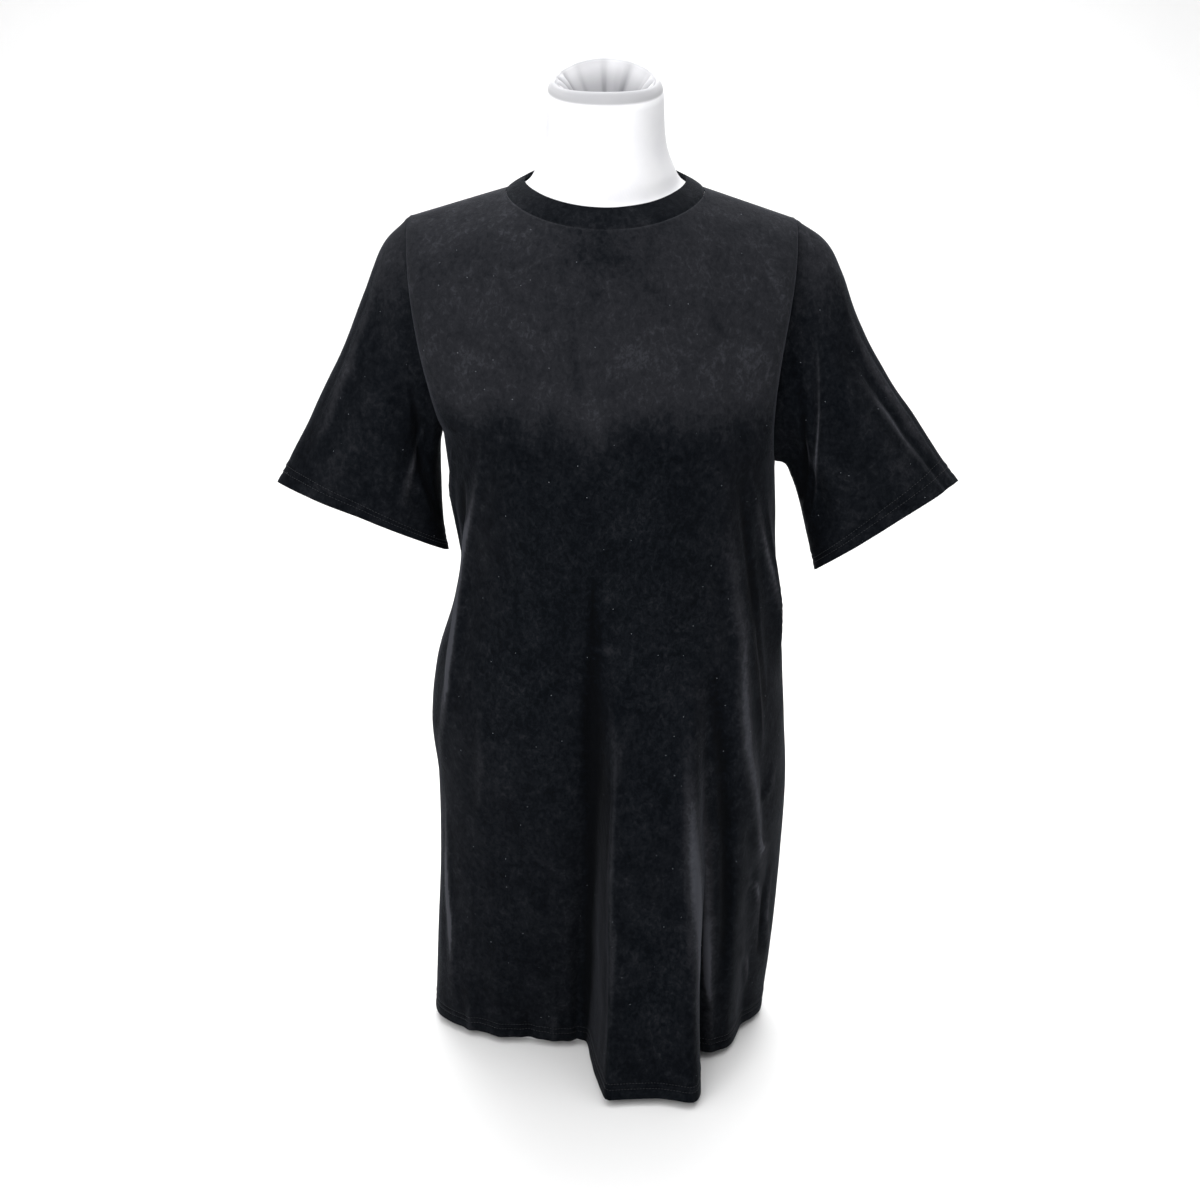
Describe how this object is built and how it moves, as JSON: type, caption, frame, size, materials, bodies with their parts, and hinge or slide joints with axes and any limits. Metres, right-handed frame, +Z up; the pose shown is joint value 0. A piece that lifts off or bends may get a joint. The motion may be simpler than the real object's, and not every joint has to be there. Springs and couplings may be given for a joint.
{
  "type": "knit dress on dress form",
  "caption": "Short-sleeved crew-neck velour knit dress hanging in loose folds on a limbless jersey-covered dress form with a hidden pole and base.",
  "frame": {"origin": "on the floor, on the axis of the dress form's pole, at the underside of the base plate", "axes": "+Z up, the dress's front faces -Y, and -X is the wearer's right"},
  "size_m": [0.6673, 0.295, 1.0002],
  "materials": {
    "black_velour": "matte short pile",
    "white_jersey": "matte fine knit",
    "pale_enamel": "satin"
  },
  "bodies": {
    "root": {"front_panel": "black_velour", "back_panel": "black_velour", "right_arm_sleeve": "black_velour", "left_arm_sleeve": "black_velour", "neckband": "black_velour", "form_torso": "white_jersey", "form_pole": "pale_enamel", "form_base": "pale_enamel"}
  },
  "joints": []
}
